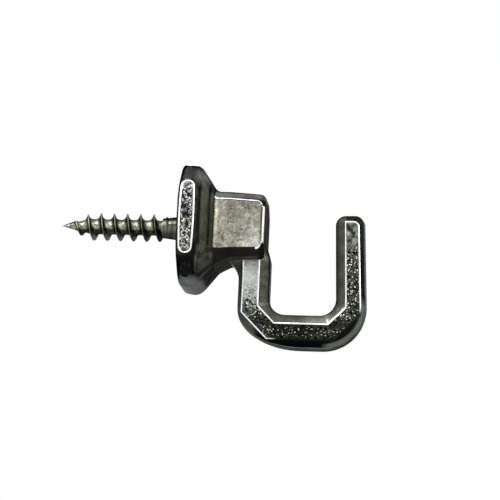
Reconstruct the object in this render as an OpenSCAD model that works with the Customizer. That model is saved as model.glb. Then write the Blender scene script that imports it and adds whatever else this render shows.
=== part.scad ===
// Screw-in hook: a die-cast square rosette with a chamfered boss and an upward J hook,
// cast around a steel wood screw. Millimetres. +X points out of the wall, +Z points up.
// The origin is the middle of the rosette's wall face, on the screw's axis.

/* [Rosette] */
// Half the distance between the rosette's flat sides
rosette_half = 9.2; // [8.8:0.05:10]
// Leg of the cut at each of the rosette's four corners
rosette_cut = 3.8; // [3.5:0.1:4.2]
// Length over which the edge between a side and a corner cut is rounded, on each
rosette_soft = 2.3; // [0.6:0.1:2.4]
// Thickness of the rosette up to the front end of its flat sides
rim_t = 1.85; // [1.7:0.05:2.6]
// Rounding round the wall face, into the face and along the sides
wall_round = 0.4; // [0.3:0.05:1.1]
// Length over which the rosette's four corners round off towards the wall face
wall_corner = 1.2; // [0.4:0.1:1.6]
// Radius of the round shoulder in front of the rim
shoulder_r = 2.1; // [1.8:0.1:2.8]
// Radius of the cove between the shoulder and the boss
cove_r = 1.15; // [0.8:0.05:1.6]
// How far the middle of the rosette lies below the screw's axis
rosette_drop = 0.2; // [0:0.05:0.3]
// How much fuller the boss's root is underneath than on its other sides
root_fill = 0.65; // [0:0.05:0.8]
// How far the rosette's underside rises towards the wall face
wall_rise = 0.35; // [0:0.05:0.5]

/* [Boss] */
// Half the width of the square boss where it leaves the rosette
boss_half = 5.1; // [4.9:0.05:5.6]
// Half the width of the boss at its front end
boss_end_half = 4.8; // [4.5:0.05:4.9]
// Distance from the wall face to the boss's front end
boss_end_x = 12.5; // [11.5:0.05:14]
// Width of the chamfers along the boss's four long edges
boss_chamfer = 1.25; // [0.6:0.05:1.8]
// Width of the bevel round the boss's front end
boss_end_bevel = 0.35; // [0.2:0.05:0.9]
// Radius that rounds the corners of the boss's four sides towards its front end
boss_corner_r = 0.8; // [0.4:0.05:1.2]

/* [Hook] */
// Thickness of the hook from side to side
hook_t = 5; // [4:0.1:6.5]
// How far the throat's near wall stands in front of the boss
throat_step = 0.9; // [0.2:0.05:1.2]
// How far the throat's near wall runs up the boss's front end
throat_rise = 3; // [1:0.1:3.1]
// Width of the throat between the two arms
throat_w = 9.95; // [8:0.05:16]
// Depth of the throat's floor below the screw's axis
throat_depth = 12.85; // [11.5:0.05:20]
// Radius of the throat's two corners
throat_corner_r = 2.45; // [1.4:0.05:2.8]
// Width of the upright arm under the boss, across the wall direction
root_arm_w = 4.75; // [4.5:0.05:5.3]
// Width of the front arm at its foot
front_arm_w = 4.55; // [4.2:0.05:5]
// How much narrower the front arm is at its tip
front_arm_taper = 0.2; // [0:0.05:0.6]
// How far the front arm's tip leans towards the wall
front_arm_lean = 0.45; // [0:0.05:0.6]
// Thickness of the bar below the throat
foot_w = 5.1; // [4.8:0.1:5.6]
// Radius of the hook's outer corner at the front
outer_corner_r = 6.5; // [6:0.1:7.5]
// Length of the oval outer corner at the wall's side, along the foot
heel_w = 9.5; // [7:0.1:10]
// Height of that corner, along the root arm
heel_h = 6; // [5.9:0.1:6.6]
// Height of the front arm's tip above the screw's axis
tip_z = 2.3; // [-2:0.1:5]
// Radius that rounds the front arm's tip
tip_r = 1.35; // [1:0.05:1.4]
// Radius of the fillet between the boss and the back of the root arm
notch_r = 3; // [1:0.1:3.2]

/* [Bevels on the hook's two faces] */
// Width of the inner bevel along the two arms
inner_bevel_w = 1.5; // [0.8:0.05:1.7]
// Width of the inner bevel along the throat's floor
floor_bevel_w = 1.4; // [0.8:0.05:1.7]
// Depth of the inner bevel
inner_bevel_t = 1; // [0.6:0.05:1.4]
// Width of the outer bevel on the two arms
outer_bevel_w = 0.8; // [0.4:0.05:0.9]
// Width of the outer bevel under the foot
foot_bevel_w = 1.25; // [0.6:0.05:1.4]
// Width of the bevel over the front arm's tip
tip_bevel_w = 1.05; // [0.4:0.05:1.2]
// Radius of the flat face's outer corner at the tip
tip_face_r = 0.85; // [0.3:0.05:1]
// Depth of the outer bevel
outer_bevel_t = 0.8; // [0.5:0.05:1.2]
// How far the outer side bulges at the parting line
side_crown = 0.15; // [0.05:0.05:0.3]
// Leg of the flat face's inner corner cuts
inner_cut = 2.5; // [1.5:0.1:3]
// Leg of the flat face's outer corner cuts
outer_cut = 3.9; // [2:0.1:4.4]

/* [Screw] */
// Distance from the wall face to the screw's point
screw_l = 18.5; // [14:0.1:30]
// Diameter over the thread's crests
thread_d = 4.2; // [3.6:0.05:4.8]
// Diameter of the core between the crests
root_d = 2.25; // [1.9:0.05:2.5]
// Distance from one crest to the next
pitch = 2; // [1.4:0.1:2.6]
// Length of the core's taper at the point
point_l = 4.6; // [3:0.1:6]
// Length of the plain collar between the thread and the wall face
collar_l = 3.1; // [2.4:0.1:4]
// Diameter of the collar at the wall face
collar_d = 3.7; // [3.4:0.05:4]
// Diameter of the collar at the thread
collar_neck_d = 3; // [2.7:0.05:3.3]
// Diameter of the shank inside the casting
shank_d = 3.2; // [2.8:0.05:3.6]
// Depth to which the collar's cone runs into the casting
collar_sunk = 0.8; // [0.4:0.1:1.5]
// Length of the shank inside the casting
shank_l = 7.5; // [5.5:0.1:9]
// Diameter of the screw's head, which the casting grips
head_d = 5; // [4:0.1:6]
// Thickness of the head
head_t = 1.2; // [0.8:0.1:1.6]

/* [Hidden] */
$fn = 64;

// Radial clearance between the screw and the casting, which is cast tight on it
cast_fit = 0;
// Steps along an arc of the rosette's profile, round one edge of its outline, round its wall face,
// along its rim, along the fuller root and along the boss's end corners
arc_steps = 7;
soft_steps = 3;
wall_steps = 4;
rim_steps = 3;
fill_steps = 4;
corner_steps = 3;
// Steps at the ends and in the middle of the hook's corners, and round its tip and fillet
end_rays = 3;
cut_rays = 6;
tip_steps = 6;
// Slopes of the shoulder at its two ends, and of the cove where it runs out on the boss
shoulder_start = 8;
steep_slope = 57;
cove_end = 6;
// Rounding of the edges of the boss's chamfers, along each face
boss_soft = 0.2;
// Where the fuller root starts behind the shoulder's end and ends in front of the cove
fill_lead = 0.3;
fill_l = 1.6;
// Length over which the rosette's underside rises towards the wall face
wall_rise_l = 2;
// Depth to which the root arm runs up inside the boss, and behind its front end
arm_overlap = 3.2;
sunk = 0.1;
// Height under the boss at which the throat's near wall is full, and how straight it runs up to
// the boss's front: 0 is a quarter of an ellipse and 1 is a straight ramp
throat_foot = 0.3;
throat_slope = 0.7;
// Rounding of the flat face's corner at the tip, on the throat's side
edge_lip = 0.1;
// Facets in one turn of the thread
turn_steps = 30;
// How soon the core and the crests reach their full size along the point: 1 is a straight cone
core_curve = 0.8;
crest_curve = 0.9;
// Distance from the point to the first turn of the thread
thread_start = 0.9;
// Turns over which the thread dies out at the collar, and how many of them lie past its start
runout_turns = 1.5;
runout_past = 1.25;

half_t = hook_t / 2;
inner_side_y = half_t - inner_bevel_t;
outer_side_y = half_t - outer_bevel_t;
throat_x = boss_end_x + throat_step;
front_arm_x = throat_x + throat_w;

function mix(a, b, k) = a + (b - a) * k;

// ---- Rosette and boss ---------------------------------------------------------------------

// Outline of one cross-section: a square of half width h with corner cuts of leg c, whose eight
// corners are rounded over a length l to each side
function octagon(h, c) =
    [for (q = [0:3], p = [[h, h - c], [h - c, h]])
        [p.x * cos(90 * q) - p.y * sin(90 * q), p.x * sin(90 * q) + p.y * cos(90 * q)]];

function unit(v) = v / norm(v);

function outline(h, c, l) =
    let (v = octagon(h, c), n = len(v))
    [for (i = [0:n - 1])
        let (
            a = v[i] + l * unit(v[(i + n - 1) % n] - v[i]),
            b = v[i] + l * unit(v[(i + 1) % n] - v[i])
        )
        each [for (s = [0:soft_steps])
            let (k = s / soft_steps)
            mix(mix(a, v[i], k), mix(v[i], b, k), k)]];

// The profile from the rim to the boss, as [x, half width]
shoulder_dx = shoulder_r * (sin(steep_slope) - sin(shoulder_start));
shoulder_dh = shoulder_r * (cos(shoulder_start) - cos(steep_slope));
cove_dx = cove_r * (sin(steep_slope) - sin(cove_end));
cove_dh = cove_r * (cos(cove_end) - cos(steep_slope));
cove_top_h = boss_half + cove_dh;
steep_dh = rosette_half - shoulder_dh - cove_top_h;
cove_top_x = rim_t + shoulder_dx + steep_dh / tan(steep_slope);
cove_end_x = cove_top_x + cove_dx;

shoulder = [for (i = [0:arc_steps])
    let (a = mix(shoulder_start, steep_slope, i / arc_steps))
    [rim_t + shoulder_r * (sin(a) - sin(shoulder_start)),
     rosette_half - shoulder_r * (cos(shoulder_start) - cos(a))]];
cove = [for (i = [0:arc_steps])
    let (a = mix(steep_slope, cove_end, i / arc_steps))
    [cove_top_x + cove_r * (sin(steep_slope) - sin(a)),
     cove_top_h - cove_r * (cos(a) - cos(steep_slope))]];

// The wall face's rounding, as [x, half width]
wall_edge = [for (i = [0:wall_steps])
    let (a = 90 * i / wall_steps)
    [wall_round * (1 - cos(a)), rosette_half - wall_round * (1 - sin(a))]];

// How much more the rosette's corners are cut at x, near the wall face
function corner_cut(x) =
    let (k = 1 - min(1, x / wall_corner))
    wall_corner * (1 - sqrt(1 - k * k));

// How far a cross-section at x is lowered, how much fuller it is underneath, and how far its
// underside is raised near the wall
shoulder_end_x = rim_t + shoulder_dx;
fill_x = shoulder_end_x - fill_lead;
fill_end = cove_end_x + fill_l;
function share(x, x0) = min(1, max(0, (x - x0) / (fill_end - x0)));
function lowered(x) = rosette_drop * (1 - share(x, shoulder_end_x));
function fuller(x) = root_fill * pow(sin(180 * share(x, fill_x)), 2);
function raised(x) = wall_rise * pow(1 - min(1, x / wall_rise_l), 2);

// One cross-section at x: its corner cuts and their rounding change with its half width h, and
// more_cut is added to its cuts. low is 1 along its underside and 0 above its lower corner cuts.
function section(x, h, more_cut = 0) =
    let (
        k = min(1, max(0, (rosette_half - h) / (rosette_half - boss_half))),
        cut = mix(rosette_cut, boss_chamfer, k),
        soft = mix(rosette_soft, boss_soft, k)
    )
    [for (p = outline(h, cut + more_cut, soft))
        let (low = max(0, 1 - (p.y + h) / cut))
        [x, p.x, p.y - lowered(x) + (raised(x) - fuller(x)) * low]];

// The boss's sides end in rounded corners: their cuts widen along an arc up to the end's bevel
bevel_x = boss_end_x - boss_end_bevel;
function boss_h(x) = mix(boss_half, boss_end_half, (x - cove_end_x) / (bevel_x - cove_end_x));
boss_corner = [for (i = [0:corner_steps])
    let (a = 90 * i / corner_steps, x = bevel_x - boss_corner_r * (1 - sin(a)))
    section(x, boss_h(x), boss_corner_r * (1 - cos(a)))];

body_sections = concat(
    [for (p = wall_edge) section(p.x, p.y, corner_cut(p.x))],
    [for (i = [1:rim_steps - 1])
        let (x = mix(wall_round, rim_t, i / rim_steps)) section(x, rosette_half, corner_cut(x))],
    [for (p = concat(shoulder, cove)) section(p.x, p.y)],
    [for (i = [1:fill_steps]) let (x = mix(cove_end_x, fill_end, i / fill_steps)) section(x, boss_h(x))],
    boss_corner,
    [section(boss_end_x, boss_end_half - boss_end_bevel, boss_corner_r - boss_end_bevel / 2)]
);

// A closed solid through rings of equal count, where each ring is a list of points. end_faces
// lists the faces that close the last ring, by place in the ring; n is the ring's middle.
function middle(ring) = [for (k = [0:2]) [for (p = ring) p[k]] * [for (p = ring) 1]] / len(ring);

module loft(rings, end_faces) {
    n = len(rings[0]);
    last = len(rings) - 1;
    hub = n * (last + 1);
    polyhedron(
        points = concat([for (ring = rings) each ring], [middle(rings[0]), middle(rings[last])]),
        faces = concat(
            [for (i = [0:n - 1]) [hub, i, (i + 1) % n]],
            [for (j = [0:last - 1], i = [0:n - 1])
                let (a = j * n + i, b = j * n + (i + 1) % n)
                each [[a, a + n, b], [b, a + n, b + n]]],
            [for (face = end_faces) [for (i = face) i == n ? hub + 1 : last * n + i]]
        )
    );
}

module rosette_and_boss() {
    n = len(body_sections[0]);
    loft(body_sections, [for (i = [0:n - 1]) [n, (i + 1) % n, i]]);
}

// ---- Hook ---------------------------------------------------------------------------------

// Corners of the rails are drawn along rays that leave one centre, so that the bevels between two
// rails have even facets. d holds the distances from the centre to the corner's two lines, and cut
// the leg of the straight cut across them; the corner is round where there is no cut.
function rays(d, cut) =
    let (t1 = atan2(d.y - cut, d.x), t2 = atan2(d.y, d.x - cut))
    concat([for (i = [0:end_rays - 1]) t1 * i / end_rays],
           [for (i = [0:cut_rays - 1]) mix(t1, t2, i / cut_rays)],
           [for (i = [0:end_rays]) mix(t2, 90, i / end_rays)]);

function corner(d, cut, t) =
    let (dir = [cos(t), sin(t)], near = [dir.x / d.x, dir.y / d.y])
    dir / (cut > 0 ? max(near.x, near.y, (dir.x + dir.y) / (d.x + d.y - cut)) : norm(near));

// The start of a rail at the boss, as [offset from the rail, z]: it runs out over a width flare,
// from a height rise above the boss's lower edge to a depth drop below it, straight for slope 1
function blend(flare, rise, drop, slope) = concat(
    [[-flare, -boss_end_half + arm_overlap]],
    [for (i = [0:tip_steps])
        let (a = 90 * i / tip_steps)
        [-flare * (1 - sin(a)), -boss_end_half + rise - (rise + drop) * mix(1 - cos(a), sin(a), slope)]]
);

// One rail of the J, as [x, z] points from inside the boss, down, along and up to the tip. The
// pairs c, ds and ts hold the centres of its two corners, their distances and their rays; start
// holds its first points, lean its drift at the tip and end its last points.
function rail(c, ds, cut, ts, start, lean, end) =
    let (xa = c[0].x - ds[0].x, xb = c[1].x + ds[1].x)
    concat(
        [for (p = start) [xa + p.x, p.y]],
        [for (t = ts[0]) c[0] - corner(ds[0], cut, t)],
        [for (i = [len(ts[1]) - 1:-1:0]) let (p = corner(ds[1], cut, ts[1][i])) c[1] + [p.x, -p.y]],
        [for (p = end) [xb + lean + p.x, p.y]]
    );

// The tip's last points on a rail, as [offset from the rail, z]: side is 1 at the throat, -1
// outside, r the rounding and top the height it ends at
function tip_arc(side, r, top) =
    [for (i = [0:tip_steps])
        let (a = 90 * i / tip_steps)
        [side * r * (1 - cos(a)), top - r * (1 - sin(a))]];

outer_x = throat_x - root_arm_w;
outer_z = -throat_depth - foot_w;
outer_front_x = front_arm_x + front_arm_w;
flat_top = tip_z - tip_bevel_w;

// Centres of the throat's two corners and of the hook's two outer corners, and the distances from
// them to the rails
in_c = [[throat_x + throat_corner_r, throat_corner_r - throat_depth],
        [front_arm_x - throat_corner_r, throat_corner_r - throat_depth]];
out_c = [[outer_x + heel_w, outer_z + heel_h],
         [outer_front_x - outer_corner_r, outer_z + outer_corner_r]];
in_d = [for (i = [0, 1]) [throat_corner_r, throat_corner_r]];
in_edge_d = [for (d = in_d) d + [inner_bevel_w, floor_bevel_w]];
out_d = [[heel_w, heel_h], [outer_corner_r, outer_corner_r]];
out_side_d = [for (d = out_d) d - [side_crown, side_crown]];
out_edge_d = [for (d = out_d) d - [outer_bevel_w, foot_bevel_w]];
outer_lean = -front_arm_lean - front_arm_taper;
in_rays = [for (d = in_edge_d) rays(d, inner_cut)];
out_rays = [for (d = out_edge_d) rays(d, outer_cut)];

wall_start = blend(throat_step + sunk, throat_rise, throat_foot, throat_slope);
wall_edge_start = blend(0, throat_rise, throat_foot, throat_slope);
back_start = blend(notch_r, 0, notch_r, 0);
back_edge_start = blend(0, 0, notch_r, 0);

inner_side = rail(in_c, in_d, 0, in_rays, wall_start, -front_arm_lean,
                  tip_arc(1, inner_bevel_w, tip_z));
inner_edge = rail(in_c, in_edge_d, inner_cut, in_rays, wall_edge_start, -front_arm_lean,
                  tip_arc(1, edge_lip, flat_top));
outer_edge = rail(out_c, out_edge_d, outer_cut, out_rays, back_edge_start, outer_lean,
                  tip_arc(-1, tip_face_r, flat_top));
outer_side = rail(out_c, out_side_d, 0, out_rays, back_start, outer_lean, tip_arc(-1, tip_r, tip_z));
outer_crown = rail(out_c, out_d, 0, out_rays, back_start, outer_lean, tip_arc(-1, tip_r, tip_z));

function at(p, y) = [p.x, y, p.y];

module j_hook() {
    loft([for (i = [0:len(inner_side) - 1])
        [at(inner_side[i], -inner_side_y),
         at(inner_edge[i], -half_t),
         at(outer_edge[i], -half_t),
         at(outer_side[i], -outer_side_y),
         at(outer_crown[i], 0),
         at(outer_side[i], outer_side_y),
         at(outer_edge[i], half_t),
         at(inner_edge[i], half_t),
         at(inner_side[i], inner_side_y)]],
        [[8, 5, 4, 3, 0], [3, 2, 0], [2, 1, 0], [8, 7, 5], [7, 6, 5]]);
}

// ---- Screw --------------------------------------------------------------------------------

// Radius of the bare core and of the crests at a distance d from the point
function core_r(d) = root_d / 2 * pow(min(d / point_l, 1), core_curve);
function crest_r(d) = thread_d / 2 * pow(min(d / point_l, 1), crest_curve);

// The thread grows over its first turn and dies out on the collar
thread_end = screw_l - collar_l + runout_past * pitch;
runout_l = runout_turns * pitch;
function fade(d) = max(0, min(1, (d - thread_start) / pitch, (thread_end - d) / runout_l));

// Shape of the ridge across one pitch, as [place, share of the full height]
ridge = [[-0.5, 0], [-0.3, 0.06], [-0.12, 0.45], [-0.02, 1], [0.02, 1], [0.12, 0.45], [0.3, 0.06]];
ridge_pts = len(ridge);
strips = ceil((thread_end - thread_start) / pitch * turn_steps);

function thread_point(i, j) =
    let (
        turn = 360 * i / turn_steps,
        d = thread_start + pitch * (i / turn_steps + ridge[j][0] - ridge[0][0]),
        r = core_r(d) + (crest_r(d) - core_r(d)) * ridge[j][1] * fade(d)
    )
    [d - screw_l, -r * sin(turn), r * cos(turn)];

// A closed solid of the threaded core: a ribbon one pitch wide that winds round the axis,
// with a fan to the point at one end and a fan to a buried point at the other
module threaded_core() {
    points = concat(
        [for (i = [0:strips + turn_steps]) each [for (j = [0:ridge_pts - 1]) thread_point(i, j)]],
        [[-screw_l, 0, 0], [thread_end - screw_l + pitch, 0, 0]]
    );
    tip = len(points) - 2;
    end = len(points) - 1;
    // The last column of one turn is the first column of the next
    function id(i, j) = j < ridge_pts ? i * ridge_pts + j : (i + turn_steps) * ridge_pts;
    polyhedron(points = points, faces = concat(
        [for (i = [0:strips - 1], j = [0:ridge_pts - 1])
            each [[id(i, j), id(i, j + 1), id(i + 1, j)],
                  [id(i + 1, j), id(i, j + 1), id(i + 1, j + 1)]]],
        [for (i = [0:turn_steps - 1]) [tip, id(i, 0), id(i + 1, 0)]],
        [for (j = [0:ridge_pts - 1]) [tip, id(0, j + 1), id(0, j)]],
        [for (i = [strips:strips + turn_steps - 1]) [end, id(i + 1, 0), id(i, 0)]],
        [for (j = [0:ridge_pts - 1]) [end, id(strips, j), id(strips, j + 1)]]
    ));
}

// Profile of the collar, shank and head, as [radius, x], grown by a clearance g
function insert_profile(g) = [
    [0, -collar_l],
    [collar_neck_d / 2 + g, -collar_l],
    [collar_d / 2 + g, 0],
    [shank_d / 2 + g, collar_sunk],
    [shank_d / 2 + g, shank_l - head_t],
    [head_d / 2 + g, shank_l - head_t],
    [head_d / 2 + g, shank_l],
    [0, shank_l]
];

module insert(g) {
    rotate([0, 90, 0]) rotate_extrude() polygon(insert_profile(g));
}

// ---- The two pieces -----------------------------------------------------------------------

module hook_body() {
    color([0.36, 0.36, 0.35])
    difference() {
        union() {
            rosette_and_boss();
            j_hook();
        }
        insert(cast_fit);
    }
}

module wood_screw() {
    color([0.62, 0.60, 0.54])
    union() {
        insert(0);
        threaded_core();
    }
}

hook_body();
wood_screw();
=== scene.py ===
"""Screw hook: a die-cast rosette, boss and J hook in dark nickel plate, and its steel wood screw.

Lengths are in millimetres until a mesh is made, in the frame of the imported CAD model: +X out of
the wall, +Z up, the origin in the middle of the wall face.
"""
from math import atan2, ceil, cos, pi, radians, sin, sqrt
import bmesh
import bpy
from mathutils import Matrix, Vector, noise


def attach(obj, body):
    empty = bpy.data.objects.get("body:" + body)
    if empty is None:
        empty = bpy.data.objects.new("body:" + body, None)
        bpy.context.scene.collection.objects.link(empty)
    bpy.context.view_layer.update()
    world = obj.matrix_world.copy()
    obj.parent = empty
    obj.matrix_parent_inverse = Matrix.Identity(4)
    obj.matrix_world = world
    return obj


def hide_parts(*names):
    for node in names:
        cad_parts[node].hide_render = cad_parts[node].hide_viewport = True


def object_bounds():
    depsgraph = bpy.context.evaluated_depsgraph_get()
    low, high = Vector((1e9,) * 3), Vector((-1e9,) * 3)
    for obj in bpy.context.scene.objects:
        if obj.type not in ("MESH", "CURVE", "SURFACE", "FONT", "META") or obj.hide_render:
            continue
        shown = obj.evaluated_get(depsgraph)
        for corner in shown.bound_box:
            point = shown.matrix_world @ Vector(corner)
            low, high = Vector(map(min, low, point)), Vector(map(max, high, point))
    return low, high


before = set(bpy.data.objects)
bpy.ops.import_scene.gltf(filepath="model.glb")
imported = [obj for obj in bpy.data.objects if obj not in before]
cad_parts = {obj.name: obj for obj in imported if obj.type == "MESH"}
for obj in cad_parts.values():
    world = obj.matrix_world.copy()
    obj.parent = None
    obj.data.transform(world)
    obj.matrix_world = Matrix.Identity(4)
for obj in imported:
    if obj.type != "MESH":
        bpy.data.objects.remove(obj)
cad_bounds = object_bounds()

MM = 0.001

# ---- Sizes, as in the part's source ---------------------------------------------------------

ROSETTE_HALF, ROSETTE_CUT, ROSETTE_SOFT = 9.2, 3.8, 2.3
RIM_T, WALL_ROUND, WALL_CORNER = 1.85, 0.4, 1.2
ROSETTE_DROP, ROOT_FILL, WALL_RISE, WALL_RISE_L = 0.2, 0.65, 0.35, 2.0
SHOULDER_R, COVE_R = 2.1, 1.15
SHOULDER_START, STEEP, COVE_END = 8.0, 57.0, 6.0
BOSS_HALF, BOSS_END_HALF, BOSS_END_X = 5.1, 4.8, 12.5
BOSS_CHAMFER, BOSS_END_BEVEL, BOSS_CORNER_R, BOSS_SOFT = 1.25, 0.35, 0.8, 0.2
HOOK_T, THROAT_STEP, THROAT_W, THROAT_DEPTH, THROAT_R = 5.0, 0.9, 9.95, 12.85, 2.45
ROOT_ARM_W, FRONT_ARM_W, TAPER, LEAN, FOOT_W = 4.75, 4.55, 0.2, 0.45, 5.1
OUTER_R, HEEL_W, HEEL_H = 6.5, 9.5, 6.0
TIP_Z, TIP_R, NOTCH_R = 2.3, 1.35, 3.0
INNER_W, FLOOR_BEVEL, INNER_T, OUTER_W, FOOT_BEVEL, OUTER_T = 1.5, 1.4, 1.0, 0.8, 1.25, 0.8
TIP_BEVEL, TIP_FACE_R = 1.05, 0.85
CROWN, INNER_CUT, OUTER_CUT = 0.15, 2.5, 3.9
SCREW_L, THREAD_D, ROOT_D, PITCH, POINT_L = 18.5, 4.2, 2.25, 2.0, 4.6
COLLAR_L, COLLAR_D, NECK_D, SHANK_D = 3.1, 3.7, 3.0, 3.2
COLLAR_SUNK, SHANK_L, HEAD_D, HEAD_T = 0.8, 7.5, 5.0, 1.2
ARM_OVERLAP, THROAT_RISE, SUNK, EDGE_LIP = 3.2, 3.0, 0.1, 0.1
THREAD_START, CORE_CURVE, CREST_CURVE = 0.9, 0.8, 0.9
RUNOUT_TURNS, RUNOUT_PAST = 1.5, 1.25


def mix(a, b, k):
    return a + (b - a) * k


def dsin(a):
    return sin(radians(a))


def dcos(a):
    return cos(radians(a))


# ---- Meshes ---------------------------------------------------------------------------------


def new_object(name, verts, faces, slots, materials):
    """An object from points in millimetres; slots, if any, gives each face's place in materials."""
    mesh = bpy.data.meshes.new(name)
    mesh.from_pydata([tuple(c * MM for c in v) for v in verts], [], faces)
    mesh.validate()
    for m in materials:
        mesh.materials.append(m)
    if slots:
        mesh.polygons.foreach_set("material_index", slots)
    bm = bmesh.new()
    bm.from_mesh(mesh)
    bmesh.ops.recalc_face_normals(bm, faces=bm.faces)
    bm.to_mesh(mesh)
    bm.free()
    obj = bpy.data.objects.new(name, mesh)
    bpy.context.scene.collection.objects.link(obj)
    return obj


def bezier(a, v, b, n):
    """n + 1 points that round the corner v between a and b."""
    out = []
    for i in range(n + 1):
        k = i / n
        out.append(mix(mix(a, v, k), mix(v, b, k), k))
    return out


def ring_faces(j, n):
    """The quads between ring j and ring j + 1 of n points each."""
    a, b = j * n, (j + 1) * n
    return [(a + i, b + i, b + (i + 1) % n, a + (i + 1) % n) for i in range(n)]


# Places of the materials in the casting's list, and in the rim's panels'
ROSETTE, EDGE, PITTED, SATIN, BEVEL, THROAT, RIM, FRONT, BACK = range(9)
PANEL_EDGE, PANEL_GRAIN, PANEL_PLATE, PANEL_SHADED_LOW, PANEL_SHADED_TOP = range(5)

# ---- Rosette and boss -----------------------------------------------------------------------

SOFT_STEPS, ARC_STEPS, WALL_STEPS, RIM_STEPS = 8, 16, 8, 8
CORNER_STEPS, EDGE_STEPS, FILL_STEPS = 10, 4, 8
FILL_LEAD, FILL_L = 0.3, 1.6
BOSS_EDGE = 0.13
SATIN_START_X = 5.1
# Sides of the octagon, whose even ones are the corner cuts
TOP, NEAR, FAR = 1, 3, 7
# Its corners at the upper and lower ends of the near and far sides
UPPER_ENDS, LOWER_ENDS = (0, 3), (4, 7)
# The quads in the middle of an upper end's rounding, which take the edges' painted highlight
HIGHLIGHT_STEPS = range(2, 6)


def octagon(h, c):
    """Corners of a square of half width h with corner cuts of leg c, as [y, z]."""
    out = []
    for q in range(4):
        s, k = round(dsin(90 * q)), round(dcos(90 * q))
        out += [Vector((y * k - z * s, y * s + z * k)) for y, z in ((h, h - c), (h - c, h))]
    return out


def outline(h, c, soft):
    """The octagon with its corners rounded over a length soft to each side."""
    v = octagon(h, c)
    out = []
    for i, p in enumerate(v):
        a = p + soft * (v[i - 1] - p).normalized()
        b = p + soft * (v[(i + 1) % 8] - p).normalized()
        out += bezier(a, p, b, SOFT_STEPS)
    return out


def cut_and_soft(h):
    """The corners' cut and rounding where the half width is h."""
    k = min(1, max(0, (ROSETTE_HALF - h) / (ROSETTE_HALF - BOSS_HALF)))
    return mix(ROSETTE_CUT, BOSS_CHAMFER, k), mix(ROSETTE_SOFT, BOSS_SOFT, k)


def corner_cut(x):
    """How much more the rosette's corners are cut at x, where they round towards the wall."""
    k = 1 - min(1, x / WALL_CORNER)
    return WALL_CORNER * (1 - sqrt(1 - k * k))


def shoulder_point(a):
    """[x, half width] on the shoulder where it slopes by a degrees."""
    return Vector((RIM_T + SHOULDER_R * (dsin(a) - dsin(SHOULDER_START)),
                   ROSETTE_HALF - SHOULDER_R * (dcos(SHOULDER_START) - dcos(a))))


def body_profile():
    """[x, half width, extra cut] from the wall face to the boss's front, each one's [drop, fill
    under the boss], and the place of the first of the front's edges."""
    pts = [(WALL_ROUND * (1 - dcos(a)), ROSETTE_HALF - WALL_ROUND * (1 - dsin(a)))
           for a in (90 * i / WALL_STEPS for i in range(WALL_STEPS + 1))]
    pts += [(mix(WALL_ROUND, RIM_T, i / RIM_STEPS), ROSETTE_HALF) for i in range(1, RIM_STEPS)]
    pts = [(x, h, corner_cut(x)) for x, h in pts]
    for i in range(ARC_STEPS + 1):
        pts.append((*shoulder_point(mix(SHOULDER_START, STEEP, i / ARC_STEPS)), 0))
    x1, h1, _ = pts[-1]
    cove_h = BOSS_HALF + COVE_R * (dcos(COVE_END) - dcos(STEEP))
    cove_x = x1 + (h1 - cove_h) * dcos(STEEP) / dsin(STEEP)
    for i in range(ARC_STEPS + 1):
        a = mix(STEEP, COVE_END, i / ARC_STEPS)
        pts.append((cove_x + COVE_R * (dsin(STEEP) - dsin(a)),
                    cove_h - COVE_R * (dcos(a) - dcos(STEEP)), 0))
    cove_end_x = pts[-1][0]
    bevel_x = BOSS_END_X - BOSS_END_BEVEL
    fill_x, fill_end = x1 - FILL_LEAD, cove_end_x + FILL_L

    def boss_h(x):
        return mix(BOSS_HALF, BOSS_END_HALF, (x - cove_end_x) / (bevel_x - cove_end_x))

    for i in range(1, FILL_STEPS + 1):
        x = mix(cove_end_x, fill_end, i / FILL_STEPS)
        pts.append((x, boss_h(x), 0))
    for i in range(CORNER_STEPS):
        a = 90 * i / CORNER_STEPS
        x = bevel_x - BOSS_CORNER_R * (1 - dsin(a))
        pts.append((x, boss_h(x), BOSS_CORNER_R * (1 - dcos(a))))
    a = Vector((bevel_x, BOSS_END_HALF, BOSS_CORNER_R))
    b = Vector((BOSS_END_X, BOSS_END_HALF - BOSS_END_BEVEL, BOSS_CORNER_R - BOSS_END_BEVEL / 2))
    along = (b - a).normalized()
    front = len(pts)
    pts += bezier(mix(Vector(pts[-1]), a, 0.5), a, a + BOSS_EDGE * along, EDGE_STEPS)
    pts += bezier(b - BOSS_EDGE * along, b, b + BOSS_EDGE * Vector((0, -1, 0)), EDGE_STEPS)
    drops = []
    for x, _, _ in pts:
        drop = ROSETTE_DROP * min(1, max(0, (fill_end - x) / (fill_end - x1)))
        fill = ROOT_FILL * dsin(180 * min(1, max(0, (x - fill_x) / (fill_end - fill_x)))) ** 2
        drops.append((drop, fill - WALL_RISE * (1 - min(1, x / WALL_RISE_L)) ** 2))
    return pts, drops, front


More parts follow.
